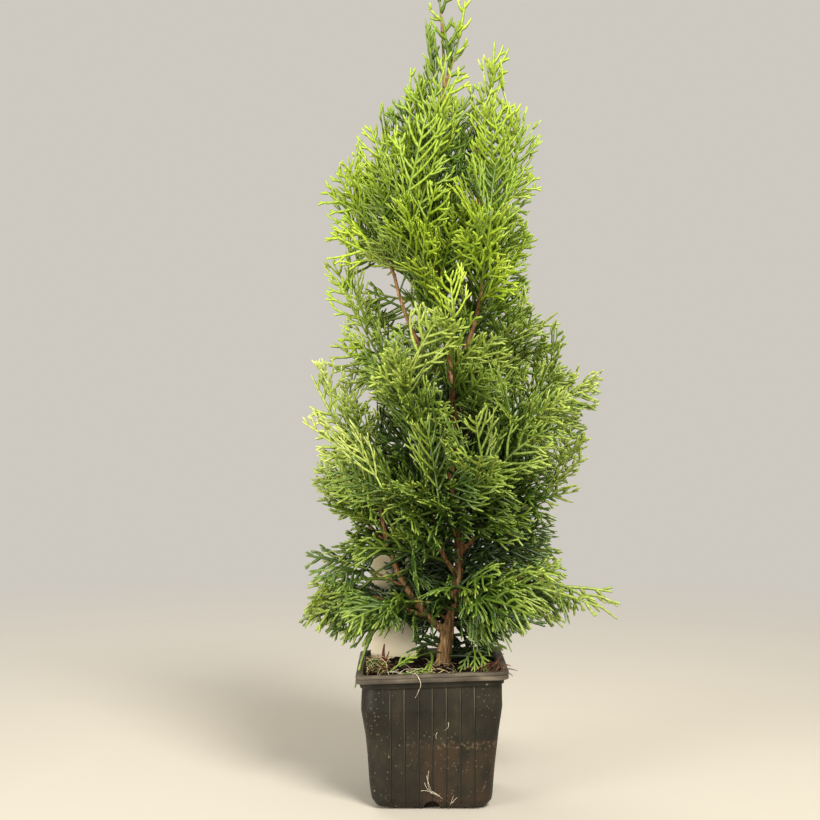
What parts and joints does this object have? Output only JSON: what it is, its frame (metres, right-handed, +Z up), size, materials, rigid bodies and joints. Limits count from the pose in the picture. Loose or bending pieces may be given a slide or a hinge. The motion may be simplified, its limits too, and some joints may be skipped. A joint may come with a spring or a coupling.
{
  "type": "potted thuja",
  "caption": "Young potted thuja: forked trunk, tapering boughs and upright fans of flat green sprays, in a small square plastic nursery pot with soil and a blank label.",
  "frame": {"origin": "centre of the pot's flat underside, on the surface it stands on", "axes": "+Z up, from the pot's underside to the tip of the leader; -Y towards the front of the plant; +X to the plant's right seen from the front"},
  "size_m": [0.2055, 0.1593, 0.501],
  "materials": {
    "pot_plastic": "thin thermoformed plastic, very dark grey-brown, dusty, with a paler brown-grey rim",
    "soil": "dark brown moist peat with fibres and specks of perlite",
    "label": "plain cream plastic card, blank",
    "bark": "grey-brown fibrous bark, orange-brown on young wood",
    "foliage": "scale leaves, deep green inside to yellow-green at the tips"
  },
  "bodies": {
    "root": {"pot": "pot_plastic", "plant_label": "label", "soil": "soil", "trunk": "bark", "left_limb": "bark", "right_limb": "bark", "inner_limb": "bark", "upper_left_limb": "bark", "upper_right_limb": "bark", "low_left_bough": "bark", "low_right_bough": "bark", "low_back_bough": "bark", "mid_left_bough": "bark", "mid_right_bough": "bark", "mid_back_bough": "bark", "upper_back_bough": "bark", "foliage_low_left": "foliage", "foliage_low_left_high": "foliage", "foliage_low_hanging": "foliage", "foliage_low_front_left": "foliage", "foliage_low_front_right": "foliage", "foliage_low_right": "foliage", "foliage_low_right_high": "foliage", "foliage_low_back_right": "foliage", "foliage_low_back": "foliage", "foliage_low_back_left": "foliage", "foliage_midlow_left": "foliage", "foliage_midlow_front_left": "foliage", "foliage_midlow_front": "foliage", "foliage_midlow_front_right": "foliage", "foliage_midlow_right": "foliage", "foliage_midlow_back_right": "foliage", "foliage_midlow_back_left": "foliage", "foliage_mid_left": "foliage", "foliage_mid_left_high": "foliage", "foliage_mid_front_left": "foliage", "foliage_mid_front": "foliage", "foliage_mid_front_right": "foliage", "foliage_mid_right": "foliage", "foliage_mid_right_high": "foliage", "foliage_mid_back_right": "foliage", "foliage_mid_back_left": "foliage", "foliage_upper_left": "foliage", "foliage_upper_left_top": "foliage", "foliage_upper_front_left": "foliage", "foliage_upper_front_right": "foliage", "foliage_upper_right_low": "foliage", "foliage_upper_right": "foliage", "foliage_upper_back_left": "foliage", "foliage_upper_back": "foliage", "foliage_top_front": "foliage", "foliage_top_left": "foliage", "foliage_top_back": "foliage", "foliage_top_right": "foliage", "foliage_tip_left": "foliage", "foliage_tip_right": "foliage", "foliage_leader": "foliage"}
  },
  "joints": []
}
